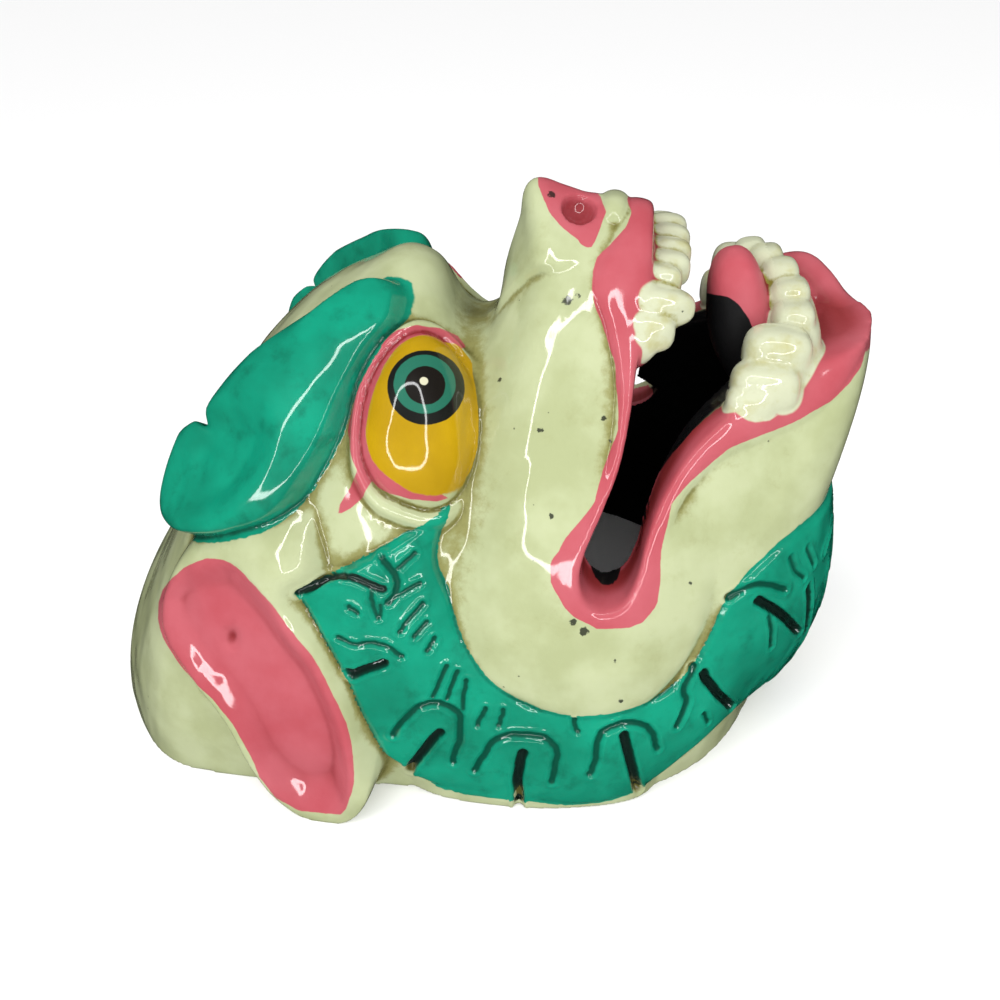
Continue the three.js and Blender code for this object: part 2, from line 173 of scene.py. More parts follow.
def inside_of(outline, station, angle, stretch=1.5, smooth=True, reach=9):
    """Distance inside a closed outline of (station, angle) pairs, negative outside it, and no
    further than a reach. Angles count for more by a stretch."""
    if smooth:
        edge = line(outline, True)(np.linspace(0, 1, 20 * len(outline)))
    else:
        edge = np.vstack([outline, outline[:1]])
    edge = edge * [1, stretch]
    spot = np.stack([np.ravel(station), np.ravel(angle) * stretch], 1)
    found = np.full(len(spot), -float(reach))
    boxed = (spot > edge.min(0) - reach) & (spot < edge.max(0) + reach)
    near_it = np.flatnonzero(np.all(boxed, axis=1))
    for some in np.array_split(near_it, max(1, len(near_it) // 4000)):
        if not len(some):
            continue
        q, a, d = spot[some][:, None], edge[:-1], np.diff(edge, axis=0)
        along = np.clip(np.sum((q - a) * d, -1) / np.maximum(np.sum(d * d, -1), 1e-9), 0, 1)
        away = np.linalg.norm(q - a - along[..., None] * d, axis=-1).min(1)
        low, high = np.minimum(a[:, 1], (a + d)[:, 1]), np.maximum(a[:, 1], (a + d)[:, 1])
        crosses = (q[..., 1] >= low) & (q[..., 1] < high)
        at = a[:, 0] + (q[..., 1] - a[:, 1]) / np.where(d[:, 1] == 0, 1e-9, d[:, 1]) * d[:, 0]
        odd = np.sum(crosses & (q[..., 0] < at), axis=1) % 2 == 1
        found[some] = np.where(odd, away, -away)
    return found.reshape(np.shape(station))


def edged(distance, wide):
    """0 outside an edge, easing to 1 at a width inside it."""
    t = np.clip(distance / wide, 0, 1)
    return t * t * (3 - 2 * t)


ring = np.linspace(-107, 107, 851)
half_turn = np.pi * np.clip(np.linspace(0, 1, 701), 0.002, 0.998)
stations = CHIN + (CROWN - CHIN) / 2 * (1 - np.cos(half_turn))
S, A = np.meshgrid(stations, ring, indexing="ij")
side = np.abs(A)
skin = bare(S, A)

# Cheeks: pouches of the same wood that swell at the corners of the mouth, fuller on the side
# of the head. Each is a dome over an outline, raised off the bare head.
POUCH = [[4, 48], [6, 56], [2, 62], [-6, 68], [-17, 71], [-28, 72.5], [-39, 72.5], [-53, 71], [-62, 67],
    [-67, 60], [-64, 50], [-52, 44], [-36, 42], [-18, 42], [-4, 43]]
r = spread(POUCH, (-30, 58), S, side)
fullness = 1.6 - 1.1 * np.clip((side - 46) / 20, 0, 1)
height = 5 * np.maximum(1 - r * r, 0) ** fullness

# Brows: two raised slabs, each an arm from the root of the nose that widens into a lobe with a
# dished middle. They are carved proud of the forehead, with steep sides, and painted green.
BROW = [[24, 12], [31, 11], [38, 15.5], [45, 18.5], [53, 21], [60, 23.5], [65, 26.5], [66, 29.5],
    [69, 27.5], [75, 27.5], [81, 31.5], [82, 37], [75, 43.5], [65, 47], [56, 48], [48, 47.5],
    [42, 44.5], [36, 39], [32, 32], [27, 24], [23, 18]]
r = spread(BROW, (60, 36), S, side)
green_paint = (1.07 - r) * 20
crown = 5.8 + 5.6 * np.clip((S - 28) / 26, 0, 1)
dish = edged(1.25 - np.hypot((S - 61) / 13, (side - 37) / 7.5), 0.8)
brow = (crown * (1.05 - 0.35 * r ** 6) - 5.5 * dish) * edged(1.05 - r, 0.13)
height = np.maximum(height, np.where(r < 1.05, brow, 0))

# Eyes: a domed ball in a raised lid, both carved from the block. The lid is the eye's outline
# made wider, and the ball bulges within it.
EYE_MIDDLE = np.array([14.0, 32.0])
EYE = np.array([[27, 30], [28, 36], [27, 41], [22, 45], [13, 45.5], [5, 42], [1, 37], [1, 31], [4, 24],
    [10, 19.5], [17, 20], [23, 24]])
LID = EYE_MIDDLE + (EYE - EYE_MIDDLE) * 1.23
r = spread(LID, EYE_MIDDLE, S, side)
lid = 2.8 * edged(1.02 - r, 0.09) * edged(S - 1, 8)
r = spread(EYE, EYE_MIDDLE, S, side)
lid = lid * edged(r - 0.98, 0.1)
ball = np.where(A > 0, 6, 8) * np.sqrt(np.maximum(1.02 - r * r, 0))
height = np.where(r < 1.12, np.maximum(lid, ball), np.maximum(height, lid))

# The bridge of the nose dips between the eyes, below a rise between the brows.
# The lion's left eye sits a little lower than its right.
dip = -6 * np.exp(-((S - 6) / 6.5) ** 2 - (A / 15) ** 2)
dip = dip + 4 * np.exp(-((S - 25) / 9) ** 2 - (A / 13) ** 2)
dip -= 8.5 * np.exp(-((S - 12) / 13) ** 2 - ((A - 28) / 14) ** 2)

# Nose: a ridge like a roof that climbs to a peak and falls to a flat front, on the end of the
# snout. The nostrils are drilled into it further down.
NOSE = np.array([[5, 0], [2, 9], [-3, 13], [-10, 17], [-17, 20], [-23, 19], [-28, 12], [-30, 0]])
NOSE = np.vstack([NOSE, NOSE[-2:0:-1] * [1, -1]])
ridge = through([[-31, 0.3], [-25, 0.6], [-21.5, 1.2], [-17.5, 4.6], [-14.5, 9.4], [-10, 5.8], [-6, 4],
    [-2, 2.5], [2, 0.7], [6, 0]])
r = spread(NOSE, (-14.5, 0), S, A)
height = np.maximum(height, ridge(S) * (1.03 - np.hypot(A, 1) / 23) * edged(1.02 - r, 0.08))

# Mane: a band from beside the eye, under the cheek and round the chin, as (bearing, z)
# lines about the middle of the cheeks. Towards the chin it stands further off the head.
CHEEKS = -30.0
MANE_INNER = [[126, 85], [124, 74], [120, 64], [116, 53], [109, 42], [100, 35], [92, 33], [83, 34],
    [73, 36], [65, 42], [60, 51], [55, 62], [46, 71], [36, 77], [18, 79], [0, 79]]
MANE_OUTER = [[138, 66], [136, 56], [132, 43], [128, 28], [123, 13], [115, 5], [105, 3], [95, 2.5],
    [83, 3], [73, 6], [63, 12], [52, 17], [40, 17], [28, 13], [14, 9], [0, 8]]
stand = through([[0, 4], [0.55, 4], [0.68, 2.6], [0.78, 2.8], [0.87, 8], [0.94, 13.5], [1, 16]])


def mane_height(t, b):
    """The mane's lift: low at its inner edge, up to its stand, rounded over at its outer edge."""
    slope = np.sin(np.pi / 2 * np.clip(b * 1.3, 0, 1))
    return (1.2 + (stand(t) - 1.2) * slope) * (1 - 0.3 * np.clip(b, 0, 1) ** 8)


bearing = np.degrees(np.arctan2(np.abs(skin[..., 0]), -(skin[..., 1] - CHEEKS)))
t, b = strip(MANE_INNER, MANE_OUTER, bearing, skin[..., 2])
within = (b > -0.02) & (b < 1.02)
# It is trimmed to a sharp corner on the side of the ear.
TRIM = [[43, 57.6], [38, 62.5], [30.6, 70.5], [26.8, 76.5], [22.3, 82.3], [15.6, 84.5], [14, 110],
    [-130, 110], [-130, -60], [-30, -60], [-30, 10], [70, 10], [52, 47]]
trimmed = inside_of(TRIM, S, side, smooth=False)
mane = mane_height(t, b) * edged(np.minimum(b * 2, 1 - b) + 0.02, 0.05)
mane = mane * edged(t * 120 + 0.5, 1.5) * edged(trimmed + 0.4, 1.3)
height = np.maximum(height, np.where(within, mane, 0))
LONG, BROAD = 240, 42  # of the band, round the head and across it
in_band = np.minimum(np.minimum(b + 0.03, 1.03 - b) * BROAD, t * LONG + 0.6)
mane_paint = np.minimum(np.where(b < 5, in_band, -9), trimmed)
green_paint = np.maximum(green_paint, mane_paint)

# Ears: a leaf down the side of the head, from the brow to the table, carved from the block. Its
# middle is dished and pink, in a cream rim that stands higher towards its lower tip.
EAR_INNER = [[93, 50.5], [84, 46], [72, 46.5], [60, 50], [49, 57], [38, 66], [28, 76], [20, 86],
    [19, 94]]
EAR_OUTER = [[92, 53], [88, 58], [77, 65], [67, 75], [59, 86], [48, 96], [32, 98], [21, 97]]
BOWL = [[70, 50], [62.5, 50.2], [58.2, 51], [54.8, 52.8], [47, 57.8], [43, 61.2], [37.2, 65.2],
    [34.5, 68], [30.2, 74.4], [29, 80], [30, 84], [32.4, 87], [36, 88.2], [41, 88.6], [46.8, 88.2],
    [52.5, 86], [57.5, 82], [62, 75.8], [66.5, 71.5], [70, 69], [77, 63.2], [81, 59.5], [83, 56],
    [83, 52.8], [80, 50.5], [75, 49.6]]
rise = through([[18, 8.5], [26, 9.8], [36, 10.6], [48, 9], [62, 6], [76, 5], [92, 3]])
REACH = 18
t, b = strip(EAR_INNER, EAR_OUTER, S, side)
within = inside_of(BOWL, S, side, reach=REACH)
outer = np.clip(b, 0, 1)
ridge_width = 1 + 3.2 * np.clip((58 - S) / 14, 0, 1) + 1.2 * np.clip((side - 74) / 12, 0, 1)
ridge_width = ridge_width * (1 - outer) + 0.8 * outer
wall = 10.5 * np.clip((S - 31) / 9, 0, 1) - 2 * np.clip((S - 56) / 12, 0, 1)
wall = 2.8 + wall * (1 - outer)
clear = edged(-mane_paint - 0.4, 3)  # 0 on the mane, spread until it slopes gently off it
for _ in range(90):
    clear[1:-1, 1:-1] = (clear[1:-1, 1:-1] + clear[2:, 1:-1] + clear[:-2, 1:-1]
                         + clear[1:-1, 2:] + clear[1:-1, :-2]) / 5
shoulder = edged(within + ridge_width + wall, wall) * clear
hollowed = 1 - 0.66 * edged(within + 0.3, 8.5 - 3 * outer)
pit = -1.5 * np.exp(-(np.hypot(S - 62, (side - 63) * 1.5) / 2.2) ** 2)
ear = (rise(S) * hollowed + 2.6 * np.clip((side - 68) / 18, 0, 1)) * shoulder + pit
height = np.maximum(height, np.where((within > 0.1 - REACH) & (side < 100), ear, 0))
bowl_paint = np.maximum(within + 0.3, -9)

# Lips: a rolled edge beside the gap of the mouth, fullest between the two lines that bound it,
# and thinner at the corners of the mouth.
LIP_INNER = [[-40, 0], [-39.5, 14], [-38, 25], [-38, 33], [-37.5, 40], [-34, 47.5], [-29.5, 53],
    [-29, 56], [-31, 58.5], [-35, 59.5], [-40, 58.5], [-42, 54], [-45, 48.5], [-49, 42.5], [-56, 37.5],
    [-65, 33], [-75, 28], [-83, 20], [-88, 0]]
LIP_OUTER = [[-32, 0], [-30, 13], [-26, 22], [-30, 28], [-33.5, 35], [-33.5, 42], [-29, 49.5],
    [-22, 54], [-21, 57], [-25, 61], [-33, 63], [-45, 62.5], [-50.5, 58], [-50, 52], [-52, 47],
    [-60, 41.5], [-74, 36], [-88, 31], [-98, 0]]
t, b = strip(LIP_INNER, LIP_OUTER, S, side)
within = (b > -0.5) & (b < 1)
corner = np.clip((side - 50) / 6, 0, 1)
lips = 2.2 * np.sin(np.pi * np.clip(0.2 + (0.8 + 0.5 * corner) * b, 0, 1)) ** 0.7
height = np.maximum(height, np.where(within, lips, 0))


def surface(name, grids):
    """Closed tubes of rings as one mesh object in millimetres, each end shut by a flat face."""
    places, quads, ends, start = [], [], [], 0
    for grid in grids:
        rows, columns = grid.shape[:2]
        index = start + np.arange(rows * columns).reshape(rows, columns)
        ahead = np.roll(index, -1, axis=1)
        face = np.stack([index[:-1], ahead[:-1], ahead[1:], index[1:]], -1).reshape(-1, 4)
        p = grid.reshape(-1, 3)
        tri = p[face - start]
        volume = np.sum(np.cross(tri[:, 0], tri[:, 1]) * tri[:, 2]
                        + np.cross(tri[:, 0], tri[:, 2]) * tri[:, 3])
        if volume < 0:
            quads.append(face[:, ::-1])
            ends += [index[0], index[-1][::-1]]
        else:
            quads.append(face)
            ends += [index[0][::-1], index[-1]]
        places.append(p)
        start += rows * columns
    places, quads = np.concatenate(places), np.concatenate(quads)
    mesh = bpy.data.meshes.new(name)
    mesh.vertices.add(len(places))
    mesh.vertices.foreach_set("co", places.ravel())
    loops = np.concatenate([quads.ravel(), *ends])
    mesh.loops.add(len(loops))
    mesh.loops.foreach_set("vertex_index", loops)
    sizes = np.concatenate([np.full(len(quads), 4), [len(end) for end in ends]])
    mesh.polygons.add(len(sizes))
    mesh.polygons.foreach_set("loop_start", np.concatenate([[0], np.cumsum(sizes)[:-1]]))
    mesh.update(calc_edges=True)
    mesh.validate()
    piece = bpy.data.objects.new(name, mesh)
    bpy.context.scene.collection.objects.link(piece)
    return piece


def settle(piece):
    """Applies the piece's modifiers to its mesh."""
    made = bpy.data.meshes.new_from_object(piece.evaluated_get(bpy.context.evaluated_depsgraph_get()))
    piece.modifiers.clear()
    piece.data = made


def extruded(outline, low, high, axis):
    """An outline carried straight from low to high along an axis, as two rings."""
    return np.stack([np.insert(outline, axis, level, axis=1) for level in (low, high)])


def closed_under(arches):
    """Arched rows closed into rings: each row's last point is carried straight across to its
    first one."""
    closing = np.linspace(1, -1, 26)[1:-1]
    last = arches[:, -1:]
    under = np.stack([last[..., 0] * closing, np.repeat(last[..., 1], 24, 1),
                      np.repeat(last[..., 2], 24, 1)], -1)
    return np.concatenate([arches, under], 1)


raised = skin + outward(S, A) * (height + dip)[..., None]
mask = surface("carved_mask_paint", [closed_under(raised)])

# The back: a flat rim that the mask lies on, round a hollow that takes the wearer's face. The
# hollow is the bare head made smaller, so the walls are thickest at the sides.
RIM = np.array([[0, -99], [18, -92], [40, -79.5], [52, -69], [63, -58], [72, -50], [78.5, -28],
    [80, -5], [79, 8], [75, 22], [73, 60], [60, 90], [30, 108], [0, 114]], float)
rim_line = line(np.vstack([RIM, RIM[-2:0:-1] * [-1, 1]]), True)(np.linspace(0, 1, 401)[:-1])
rim = surface("rim", [extruded(rim_line, 0.3, 6, 2)])
HOLLOW = np.array([0.855, 0.9, 0.9])
inner = bare(*np.meshgrid(stations[::8], np.linspace(-100, 100, 121), indexing="ij")) * HOLLOW
hollow = surface("hollow", [closed_under(inner)])

# The gap of the mouth, cut straight across between the jaws. The far corner is cut a little
# wider and lower, and the block is cut level where it lies on the table.
GAP = [[-39.5, 150], [-39.5, 136], [-38, 122], [-37, 108], [-35.5, 98], [-32.5, 89], [-29, 80.5],
    [-28, 74], [-30, 69], [-34, 66.5], [-39, 68], [-42, 74], [-43.5, 82], [-47, 92.5], [-53, 102],
    [-62, 109], [-75, 115], [-90, 120.5], [-125, 128]]
gap_line = np.vstack([line(GAP)(np.linspace(0, 1, 241)), [[-125, 190], [-39.5, 190]]])
mouth = surface("mouth", [extruded(gap_line, -120, 120, 0)])
FAR_CORNER = [[-36, 80], [-30, 70], [-34, 61.5], [-41, 60], [-47, 64], [-50.5, 72], [-52, 81],
    [-53.5, 91], [-56, 101], [-50, 99], [-42, 88]]
corner_line = line(FAR_CORNER, True)(np.linspace(0, 1, 121)[:-1])
far_gap = surface("far_gap", [extruded(corner_line, 44, 110, 0)])
square = 200.0 * np.array([[-1, -1], [1, -1], [1, 1], [-1, 1]])
table = surface("table", [extruded(square, -80, 0, 2)])


def around(first, last, rows, columns):
    """A grid of places along, from first to last, and of turns round them."""
    return np.meshgrid(np.linspace(first, last, rows),
                       np.linspace(0, 2 * np.pi, columns + 1)[:-1], indexing="ij")


def egg(middle, size, squared=0.85, taper=0.0, rows=33, columns=40):
    """A rounded lump: half sizes times a point on the sphere, squared off, and narrowed along y."""
    up, round_ = around(0.02, np.pi - 0.02, rows, columns)
    p = np.stack([np.sin(up) * np.cos(round_), np.sin(up) * np.sin(round_), np.cos(up)], -1)
    p = np.sign(p) * np.abs(p) ** squared
    p[..., [0, 2]] *= 1 + taper * p[..., 1:2]
    return np.array(middle) + p * size


# Teeth, gums and tongue, carved from the same block. The jaws are a little askew, so each side
# has its own teeth, as middle and half sizes.
TEETH = np.array([  # x, y, z, half sizes, taper towards -y
    [11, -44.3, 137.6, 3.7, 5, 4.4, 0.1], [4.5, -44.8, 136.8, 3.7, 5.1, 4.4, 0.1],
    [-2.5, -44.9, 135.6, 3.8, 5.1, 4.4, 0.1], [-9, -44.6, 134.3, 3.7, 5, 4.4, 0.1],
    [-15, -42.8, 133, 3.4, 4.6, 4.4, 0.1], [-21.6, -43.8, 129.4, 4.7, 7, 4.9, 0.28],
    [-25.6, -41, 124.8, 4.6, 5.4, 5, 0.15], [-28, -38.6, 122.2, 3.4, 3.4, 4, 0.1],
    [17.5, -43, 136, 3.8, 5, 4.4, 0.1], [23, -43, 129.5, 5.5, 7.5, 5.5, 0.28],
    [27.5, -38, 121, 5, 5, 5.5, 0.1],
    [20.5, -68.5, 127.5, 5.6, 4.6, 5.6, -0.1], [13.2, -71.7, 128.4, 5.6, 4.7, 5.6, -0.1],
    [5.2, -74.6, 127.6, 5.8, 4.8, 5.6, -0.1], [-3, -76.4, 125.3, 5.8, 5, 5.8, -0.1],
    [-11.4, -76.6, 122.4, 6, 5.2, 6, -0.1], [-21, -72.2, 118.6, 6.6, 8.2, 6.8, 0],
    [-27.6, -69.6, 112.8, 6, 8.4, 6.2, 0], [-31.5, -66.2, 110, 4, 6, 4, 0], [27.5, -66, 122, 6, 6.5, 7, 0],
    [33, -63, 113, 4.5, 5, 6, 0]])
SQUARED = 0.66
eggs = [egg(row[:3], row[3:6], SQUARED, row[6]) for row in TEETH]


def tube(path, radius, rows=80, columns=24):
    """A round rod along a smooth line through places, its ends drawn to points."""
    t, turn = around(0.002, 0.998, rows, columns)
    core = line(path)(t)
    way = line(path)(np.clip(t + 0.01, 0, 1)) - line(path)(np.clip(t - 0.01, 0, 1))
    across = np.cross(way, [0.0, 0.0, 1.0])
    across /= np.linalg.norm(across, axis=-1, keepdims=True)
    above = np.cross(across, way)
    above /= np.linalg.norm(above, axis=-1, keepdims=True)
    size = radius * (1 - (2 * t - 1) ** 8)[..., None]
    return core + size * (across * np.cos(turn)[..., None] + above * np.sin(turn)[..., None])


UPPER_GUM = [[-30, -36, 116], [-25, -38.5, 124], [-15, -39.5, 131], [0, -40, 134.5], [14, -40, 132.5],
    [25, -38, 123]]
LOWER_GUM = [[-34, -66, 107], [-27, -72, 111], [-14, -79, 114.5], [0, -81, 116], [14, -79, 120],
    [27, -73, 119]]
LOWER_RIM = [[-14, -93, 115.5], [0, -95, 116.5], [10, -92.5, 119], [18, -88, 123], [24, -84, 124.5],
    [31, -77, 120], [37, -68, 113]]
RIDGE = [[-31.5, -66, 110.5], [-28, -70.6, 112.5], [-24, -74.8, 114.6], [-17, -78.6, 118.6],
    [-9, -78.8, 121.6], [0, -77.2, 125], [9, -74.2, 127], [18, -70.5, 126.5], [27, -66.5, 120]]
gums = [tube(UPPER_GUM, 5.2), tube(LOWER_GUM, 5.5), tube(LOWER_RIM, 4.2), tube(RIDGE, 5)]
gums += [egg((20, -80, 116), (16, 9, 7), 0.8)]
bump = egg((0, -29.3, 145.2), (9, 4.6, 4.8), 0.9)

# The tongue stands up in the lower jaw and curls to a tip: a squarish rod along a curve in the
# middle plane, as (y, z) places, that narrows and thins as it rises.
tongue_path = line([[-88, 92], [-81, 99], [-73.5, 106.5], [-66.5, 116], [-63.5, 125], [-60.3, 137.4]])
t, turn = around(0.002, 0.999, 70, 60)
core = tongue_path(t)
way = tongue_path(np.clip(t + 0.005, 0, 1)) - tongue_path(np.clip(t - 0.005, 0, 1))
way /= np.linalg.norm(way, axis=-1, keepdims=True)
end = np.sqrt(1 - t ** 14)
across = (17 - 7.5 * t) * end * np.sign(np.cos(turn)) * np.abs(np.cos(turn)) ** 0.75
off = (8.5 + 4 * t - 6 * t ** 2) * end * np.sign(np.sin(turn)) * np.abs(np.sin(turn)) ** 0.75
tongue = np.stack([across, core[..., 0] - way[..., 1] * off, core[..., 1] + way[..., 0] * off], -1)
mouth_parts = surface("mouth_parts", eggs + gums + [tongue, bump])

# The block is put together: the rim is joined on, and the mouth, the hollow and the nostrils
# are cut. Then the teeth and tongue are melted into it, so it is one skin.
nostrils = surface("nostrils", [egg((6.9 * hand, -20.8, 148), (5, 4.5, 4.4), 1.0) for hand in (1, -1)])
TOOLS = ((rim, "UNION"), (mouth, "DIFFERENCE"), (hollow, "DIFFERENCE"), (nostrils, "DIFFERENCE"),
         (far_gap, "DIFFERENCE"), (table, "DIFFERENCE"))
for tool, operation in TOOLS:
    cut = mask.modifiers.new(tool.name, "BOOLEAN")
    cut.operation, cut.object, cut.solver = operation, tool, "MANIFOLD"
settle(mask)
with bpy.context.temp_override(active_object=mask, selected_editable_objects=[mask, mouth_parts]):
    bpy.ops.object.join()
for tool, _ in TOOLS:
    bpy.data.objects.remove(tool)
melt = mask.modifiers.new("melt", "REMESH")
melt.mode, melt.voxel_size, melt.use_smooth_shade = "VOXEL", 0.6, True
soften = mask.modifiers.new("soften", "SMOOTH")
soften.factor, soften.iterations = 0.5, 2
settle(mask)


def read(mesh, what="vertices"):
    """The places of a mesh's vertices, or their normals, as rows of three."""
    values = np.empty(len(mesh.vertices) * 3, np.float32)
    if what == "vertices":
        mesh.vertices.foreach_get("co", values)
    else:
        mesh.vertex_normals.foreach_get("vector", values)
    return values.reshape(-1, 3).astype(float)


def finder(points):
    """Finds the nearest of some points to a place."""
    tree = KDTree(len(points))
    for i, p in enumerate(points):
        tree.insert(p, i)
    tree.balance()
    return tree


def near(points, curve, reach):
    """Distance from points to a curve's points, where it is less than a reach, else the reach."""
    tree = finder(curve)
    away = np.full(len(points), float(reach))
    close = np.all((points > curve.min(0) - reach) & (points < curve.max(0) + reach), axis=1)
    for i in np.flatnonzero(close):
        away[i] = min(tree.find(points[i])[2], reach)
    return away


# The edges of the lips are rubbed round: the corner where the gap leaves the face is smoothed,
# most beside the gap and not at all 5 mm from it.
P = read(mask.data)
station, angle, share = place_on_head(P)
gap_flat = np.insert(line(GAP)(np.linspace(0, 1, 300)), 0, 0, axis=1)
edge = near(P * [0, 1, 1], gap_flat, 5)
rubbed = np.clip((5 - edge) / 4, 0, 1) * np.clip((share - 0.955) / 0.02, 0, 1)
group = mask.vertex_groups.new(name="rubbed")
for level in range(1, 11):
    group.add(np.flatnonzero(np.rint(rubbed * 10) == level).tolist(), level / 10, "REPLACE")
rub = mask.modifiers.new("rub", "SMOOTH")
rub.factor, rub.iterations, rub.vertex_group = 0.5, 36, "rubbed"
settle(mask)

# Fine carving in the mane: slots from its outer edge, arches round them, short strokes by its
# inner edge and a curl in its upper corner. Each is a line in (t, b), traced on the surface.
P, N = read(mask.data), read(mask.data, "normals")
bearing = np.degrees(np.arctan2(np.abs(P[:, 0]), -(P[:, 1] - CHEEKS)))
t, b = strip(MANE_INNER, MANE_OUTER, bearing, P[:, 2])
station, angle, share = place_on_head(P)
off_ear = np.abs(strip(EAR_INNER, EAR_OUTER, station, np.abs(angle))[1] - 0.5) > 0.6
on_mane = np.flatnonzero((b > -0.3) & (b < 1.3) & (share > 0.96) & off_ear)
ALONG, ACROSS, APART = 250, 45, 900  # millimetres of the unrolled mane, and between its sides
flat = np.stack([t * ALONG, b * ACROSS, np.where(P[:, 0] < 0, 0, APART)], 1)
unrolled = finder(flat[on_mane])


def traced(curve, other_side):
    """A line in (t, b) as smoothed places on the mane, on one side of the head."""
    path = line(curve)(np.linspace(0, 1, 12 * len(curve)))
    found = [unrolled.find((t * ALONG, b * ACROSS, APART * other_side))[1] for t, b in path]
    spots = P[on_mane[found]]
    for _ in range(4):
        spots[1:-1] = (spots[:-2] + 2 * spots[1:-1] + spots[2:]) / 4
    fine = np.linspace(0, len(spots) - 1, len(spots) * 4)
    return np.stack([np.interp(fine, np.arange(len(spots)), c) for c in spots.T], 1)


SLOTS = [[[0.154, 0.45], [0.149, 0.58], [0.14, 0.97]], [[0.27, 0.47], [0.292, 1.04]], [[0.375, 0.37],
    [0.437, 1.04]], [[0.506, 0.22], [0.59, 1.04]], [[0.661, 0.19], [0.747, 0.9]], [[0.782, 0.15],
    [0.87, 0.6]], [[0.872, 0.3], [0.9, 0.95]], [[0.955, 0.35], [0.97, 0.95]]]
ARCHES = [[[0.237, 0.69], [0.231, 0.54], [0.23, 0.41], [0.243, 0.31], [0.265, 0.28], [0.291, 0.42],
    [0.313, 0.64]], [[0.342, 0.63], [0.333, 0.48], [0.328, 0.31], [0.347, 0.21], [0.379, 0.19],
    [0.413, 0.27], [0.432, 0.43], [0.446, 0.63]], [[0.488, 0.56], [0.484, 0.41], [0.472, 0.22],
    [0.475, 0.13], [0.498, 0.1], [0.532, 0.18], [0.561, 0.35], [0.579, 0.52]], [[0.012, 0.25],
    [0.038, 0.18], [0.061, 0.14], [0.079, 0.17], [0.086, 0.23]], [[0.62, -0.01], [0.601, 0.08],
    [0.622, 0.28], [0.614, 0.45]], [[0.738, -0.02], [0.767, 0.02], [0.802, 0.11], [0.828, 0.21]],
    [[0.9, 0.2], [0.925, 0.14], [0.945, 0.24], [0.945, 0.42]]]
CURLS = [[[0.002, 0.83], [0.004, 0.61], [0.014, 0.47], [0.034, 0.36], [0.063, 0.24]]]
STROKES = [[[0.8, 0.3], [0.806, 0.42], [0.808, 0.55]], [[0.842, 0.06], [0.85, 0.16], [0.862, 0.22]],
    [[0.87, 0.08], [0.88, 0.2]], [[0.915, 0.32], [0.92, 0.46], [0.93, 0.6]], [[0.962, 0.1],
    [0.968, 0.26]], [[0.68, 0.62], [0.694, 0.78]], [[0.985, 0.3], [0.985, 0.5]], [[0.053, 0.3],
    [0.075, 0.32], [0.095, 0.33], [0.084, 0.28]], [[0.04, 0.04], [0.047, 0.13]], [[0.087, 0.05],
    [0.084, 0.15], [0.085, 0.23]], [[0.116, 0.09], [0.123, 0.18], [0.13, 0.26]], [[0.143, 0.11],
    [0.148, 0.2]], [[0.171, 0.1], [0.179, 0.17]], [[0.062, 0.48], [0.075, 0.44]], [[0.095, 0.61],
    [0.111, 0.55], [0.122, 0.45], [0.143, 0.36], [0.161, 0.32]], [[0.214, 0.13], [0.231, 0.31]],
    [[0.228, 0.1], [0.245, 0.26]], [[0.245, 0.09], [0.268, 0.25]], [[0.289, 0.15], [0.296, 0.28]],
    [[0.307, 0.09], [0.317, 0.2]], [[0.415, 0.02], [0.43, 0.12]]]
CUTS = ((SLOTS, 1.7, 2.7), (CURLS, 1.5, 1.3), (ARCHES, 1.5, 0.95), (STROKES, 1.2, 0.7))
carved, piled, deep_cut_shade = np.zeros(len(P)), np.zeros(len(P)), np.zeros(len(P))
for curves, wide, depth in CUTS:
    for curve in curves:
        for other_side in (0, 1):
            away = near(P, traced(curve, other_side), wide * 2)
            carved = np.maximum(carved, depth * np.maximum(1 - (away / wide) ** 2, 0) ** 1.5)
            piled = np.maximum(piled, 0.3 * np.exp(-((away / wide - 1.3) / 0.35) ** 2))
            # The slots and the curl, the deepest cuts, are also kept for the painted shade that darkens
            # them near black.
            if depth > 1.2:
                deep_cut_shade = np.maximum(deep_cut_shade, 1 - away / wide)
piled[carved > 0.1] = 0
P -= N * (carved - piled)[:, None]
mask.data.vertices.foreach_set("co", P.astype(np.float32).ravel())
mask.data.update()

# How far each place lies in a hollow, from the mesh less a smoothed copy of it: dirt gathers there on the
# cream and the teeth, and the pink and the green are painted darker there as painted shade. A crease shows
# after a little smoothing, a valley after more. The lower jaw gets less of both.
smooth_copy = mask.copy()
smooth_copy.data = mask.data.copy()
bpy.context.scene.collection.objects.link(smooth_copy)
N = read(mask.data, "normals")
sunk = []
for passes in (30, 150):
    soften = smooth_copy.modifiers.new("soften", "SMOOTH")
    soften.factor, soften.iterations = 0.5, passes
    settle(smooth_copy)
    sunk.append(np.sum((read(smooth_copy.data) - P) * N, 1))
bpy.data.objects.remove(smooth_copy)


def keep(name, values, kind="FLOAT"):
    """Stores values at the vertices of the mask."""
    held = mask.data.attributes.new(name, kind, "POINT")
    values = np.ascontiguousarray(values, np.float32).ravel()
    held.data.foreach_set("value" if kind == "FLOAT" else "vector", values)


jaw = np.clip((-52 - P[:, 1]) / 6, 0, 1) * np.clip((P[:, 2] - 62) / 8, 0, 1)
jaw = 0.75 * jaw * np.clip((np.abs(P[:, 0]) - 4) / 4, 0, 1)
keep("crease", sunk[0] * (1 - jaw))
keep("valley", sunk[1] * (1 - jaw))
keep("carved", carved)
keep("deep_cut_shade", deep_cut_shade)
keep("fine_normal", N, "FLOAT_VECTOR")

# Fewer triangles: the hollow, which is plain, goes first, and then the whole.
station, angle, share = place_on_head(P)
plain = mask.vertex_groups.new(name="plain")
plain.add(np.flatnonzero(share < 0.93).tolist(), 1.0, "REPLACE")
for ratio, group in ((0.62, "plain"), (0.30, "")):
    fewer = mask.modifiers.new("fewer", "DECIMATE")
    fewer.ratio, fewer.vertex_group = ratio, group
settle(mask)

